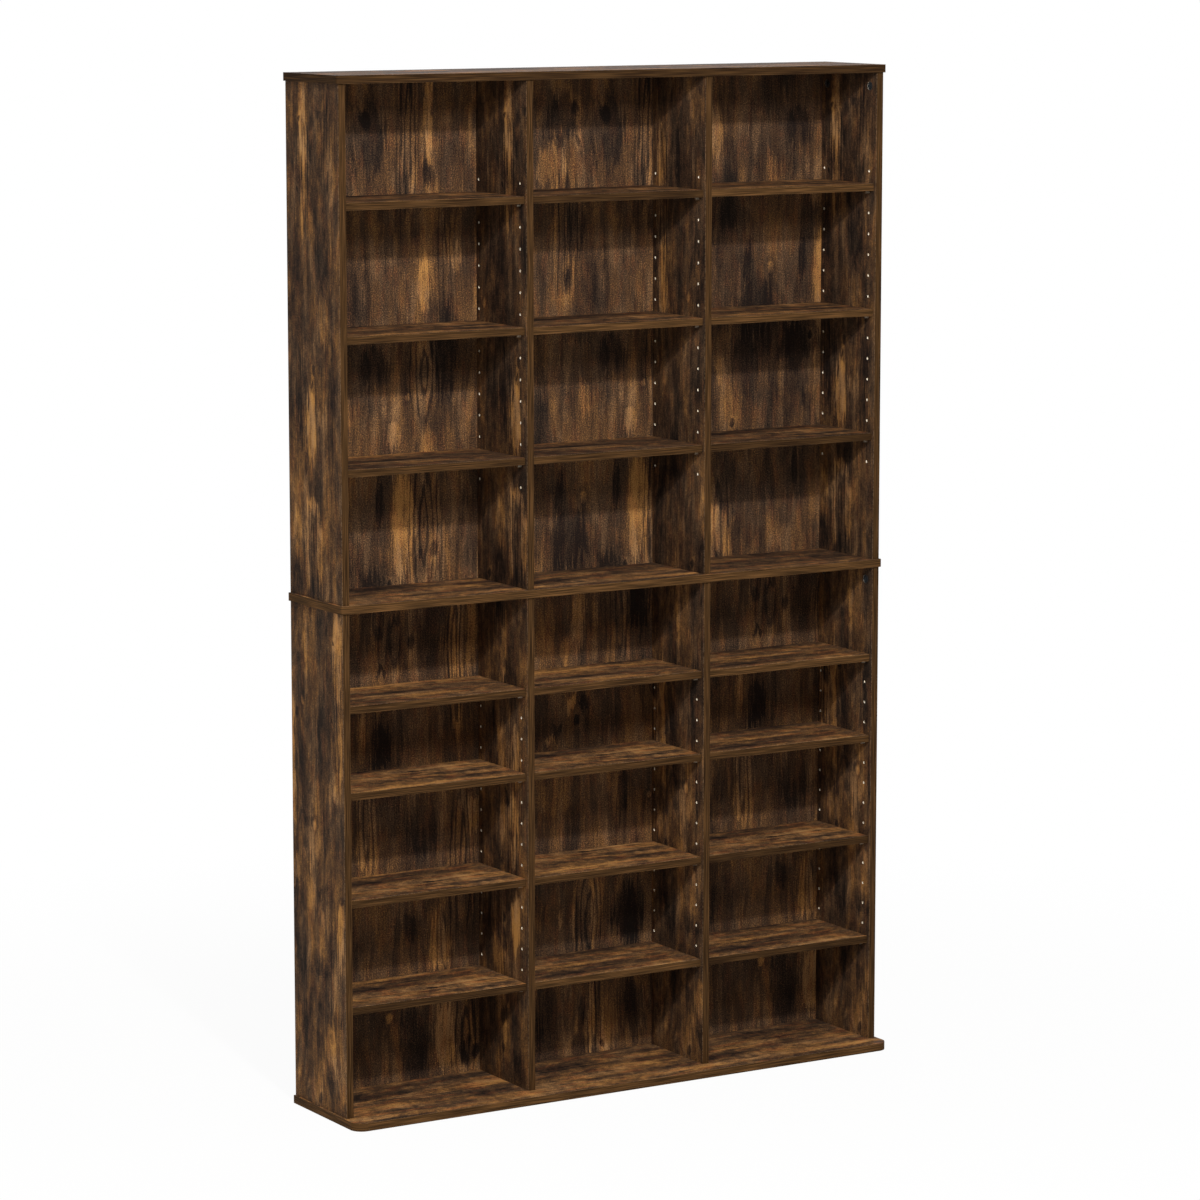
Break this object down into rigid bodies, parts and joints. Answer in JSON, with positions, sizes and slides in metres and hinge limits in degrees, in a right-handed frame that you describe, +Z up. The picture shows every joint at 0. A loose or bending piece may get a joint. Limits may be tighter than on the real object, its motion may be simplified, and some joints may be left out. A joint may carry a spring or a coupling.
{
  "type": "disc storage cabinet",
  "caption": "Tall open media cabinet in two stacked units of three columns, with loose adjustable shelves on pins.",
  "frame": {"origin": "on the floor, in the middle of the footprint", "axes": "+X to the right seen from the front, +Y to the back, +Z up"},
  "size_m": [1.095, 0.23, 1.775],
  "materials": {
    "carcass_decor": "dark smoked oak melamine, satin",
    "shelf_decor": "dark smoked oak melamine, satin",
    "back_decor": "printed hardboard, satin",
    "cam_metal": "dull zinc",
    "screw_metal": "bright zinc plate"
  },
  "bodies": {
    "cabinet": {"top_board": "carcass_decor", "middle_board": "carcass_decor", "base_board": "carcass_decor", "upper_left_side_panel": "carcass_decor", "upper_left_divider": "carcass_decor", "upper_right_divider": "carcass_decor", "upper_right_side_panel": "carcass_decor", "lower_left_side_panel": "carcass_decor", "lower_left_divider": "carcass_decor", "lower_right_divider": "carcass_decor", "lower_right_side_panel": "carcass_decor", "upper_left_back_panel": "back_decor", "upper_centre_back_panel": "back_decor", "upper_right_back_panel": "back_decor", "lower_left_back_panel": "back_decor", "lower_centre_back_panel": "back_decor", "lower_right_back_panel": "back_decor", "upper_left_cam_lock_front": "cam_metal", "upper_left_cam_lock_rear": "cam_metal", "upper_right_cam_lock_front": "cam_metal", "upper_right_cam_lock_rear": "cam_metal", "lower_left_cam_lock_front": "cam_metal", "lower_left_cam_lock_rear": "cam_metal", "lower_right_cam_lock_front": "cam_metal", "lower_right_cam_lock_rear": "cam_metal", "base_screw_left_side_panel_front": "screw_metal", "base_screw_left_side_panel_rear": "screw_metal", "base_screw_left_divider_front": "screw_metal", "base_screw_left_divider_rear": "screw_metal", "base_screw_right_divider_front": "screw_metal", "base_screw_right_divider_rear": "screw_metal", "base_screw_right_side_panel_front": "screw_metal", "base_screw_right_side_panel_rear": "screw_metal", "middle_screw_left_side_panel_front": "screw_metal", "middle_screw_left_side_panel_rear": "screw_metal", "middle_screw_right_side_panel_front": "screw_metal", "middle_screw_right_side_panel_rear": "screw_metal"},
    "upper_left_shelf_1": {"upper_left_shelf_1": "shelf_decor"},
    "upper_left_shelf_2": {"upper_left_shelf_2": "shelf_decor"},
    "upper_left_shelf_3": {"upper_left_shelf_3": "shelf_decor"},
    "upper_centre_shelf_1": {"upper_centre_shelf_1": "shelf_decor"},
    "upper_centre_shelf_2": {"upper_centre_shelf_2": "shelf_decor"},
    "upper_centre_shelf_3": {"upper_centre_shelf_3": "shelf_decor"},
    "upper_right_shelf_1": {"upper_right_shelf_1": "shelf_decor"},
    "upper_right_shelf_2": {"upper_right_shelf_2": "shelf_decor"},
    "upper_right_shelf_3": {"upper_right_shelf_3": "shelf_decor"},
    "lower_left_shelf_1": {"lower_left_shelf_1": "shelf_decor"},
    "lower_left_shelf_2": {"lower_left_shelf_2": "shelf_decor"},
    "lower_left_shelf_3": {"lower_left_shelf_3": "shelf_decor"},
    "lower_left_shelf_4": {"lower_left_shelf_4": "shelf_decor"},
    "lower_centre_shelf_1": {"lower_centre_shelf_1": "shelf_decor"},
    "lower_centre_shelf_2": {"lower_centre_shelf_2": "shelf_decor"},
    "lower_centre_shelf_3": {"lower_centre_shelf_3": "shelf_decor"},
    "lower_centre_shelf_4": {"lower_centre_shelf_4": "shelf_decor"},
    "lower_right_shelf_1": {"lower_right_shelf_1": "shelf_decor"},
    "lower_right_shelf_2": {"lower_right_shelf_2": "shelf_decor"},
    "lower_right_shelf_3": {"lower_right_shelf_3": "shelf_decor"},
    "lower_right_shelf_4": {"lower_right_shelf_4": "shelf_decor"}
  },
  "joints": [
    {"name": "upper_left_shelf_1_draw", "type": "slide", "parent": "cabinet", "child": "upper_left_shelf_1", "axis": [0, -1, 0], "range_m": [0, 0.18]},
    {"name": "upper_left_shelf_2_draw", "type": "slide", "parent": "cabinet", "child": "upper_left_shelf_2", "axis": [0, -1, 0], "range_m": [0, 0.18]},
    {"name": "upper_left_shelf_3_draw", "type": "slide", "parent": "cabinet", "child": "upper_left_shelf_3", "axis": [0, -1, 0], "range_m": [0, 0.18]},
    {"name": "upper_centre_shelf_1_draw", "type": "slide", "parent": "cabinet", "child": "upper_centre_shelf_1", "axis": [0, -1, 0], "range_m": [0, 0.18]},
    {"name": "upper_centre_shelf_2_draw", "type": "slide", "parent": "cabinet", "child": "upper_centre_shelf_2", "axis": [0, -1, 0], "range_m": [0, 0.18]},
    {"name": "upper_centre_shelf_3_draw", "type": "slide", "parent": "cabinet", "child": "upper_centre_shelf_3", "axis": [0, -1, 0], "range_m": [0, 0.18]},
    {"name": "upper_right_shelf_1_draw", "type": "slide", "parent": "cabinet", "child": "upper_right_shelf_1", "axis": [0, -1, 0], "range_m": [0, 0.18]},
    {"name": "upper_right_shelf_2_draw", "type": "slide", "parent": "cabinet", "child": "upper_right_shelf_2", "axis": [0, -1, 0], "range_m": [0, 0.18]},
    {"name": "upper_right_shelf_3_draw", "type": "slide", "parent": "cabinet", "child": "upper_right_shelf_3", "axis": [0, -1, 0], "range_m": [0, 0.18]},
    {"name": "lower_left_shelf_1_draw", "type": "slide", "parent": "cabinet", "child": "lower_left_shelf_1", "axis": [0, -1, 0], "range_m": [0, 0.18]},
    {"name": "lower_left_shelf_2_draw", "type": "slide", "parent": "cabinet", "child": "lower_left_shelf_2", "axis": [0, -1, 0], "range_m": [0, 0.18]},
    {"name": "lower_left_shelf_3_draw", "type": "slide", "parent": "cabinet", "child": "lower_left_shelf_3", "axis": [0, -1, 0], "range_m": [0, 0.18]},
    {"name": "lower_left_shelf_4_draw", "type": "slide", "parent": "cabinet", "child": "lower_left_shelf_4", "axis": [0, -1, 0], "range_m": [0, 0.18]},
    {"name": "lower_centre_shelf_1_draw", "type": "slide", "parent": "cabinet", "child": "lower_centre_shelf_1", "axis": [0, -1, 0], "range_m": [0, 0.18]},
    {"name": "lower_centre_shelf_2_draw", "type": "slide", "parent": "cabinet", "child": "lower_centre_shelf_2", "axis": [0, -1, 0], "range_m": [0, 0.18]},
    {"name": "lower_centre_shelf_3_draw", "type": "slide", "parent": "cabinet", "child": "lower_centre_shelf_3", "axis": [0, -1, 0], "range_m": [0, 0.18]},
    {"name": "lower_centre_shelf_4_draw", "type": "slide", "parent": "cabinet", "child": "lower_centre_shelf_4", "axis": [0, -1, 0], "range_m": [0, 0.18]},
    {"name": "lower_right_shelf_1_draw", "type": "slide", "parent": "cabinet", "child": "lower_right_shelf_1", "axis": [0, -1, 0], "range_m": [0, 0.18]},
    {"name": "lower_right_shelf_2_draw", "type": "slide", "parent": "cabinet", "child": "lower_right_shelf_2", "axis": [0, -1, 0], "range_m": [0, 0.18]},
    {"name": "lower_right_shelf_3_draw", "type": "slide", "parent": "cabinet", "child": "lower_right_shelf_3", "axis": [0, -1, 0], "range_m": [0, 0.18]},
    {"name": "lower_right_shelf_4_draw", "type": "slide", "parent": "cabinet", "child": "lower_right_shelf_4", "axis": [0, -1, 0], "range_m": [0, 0.18]}
  ]
}
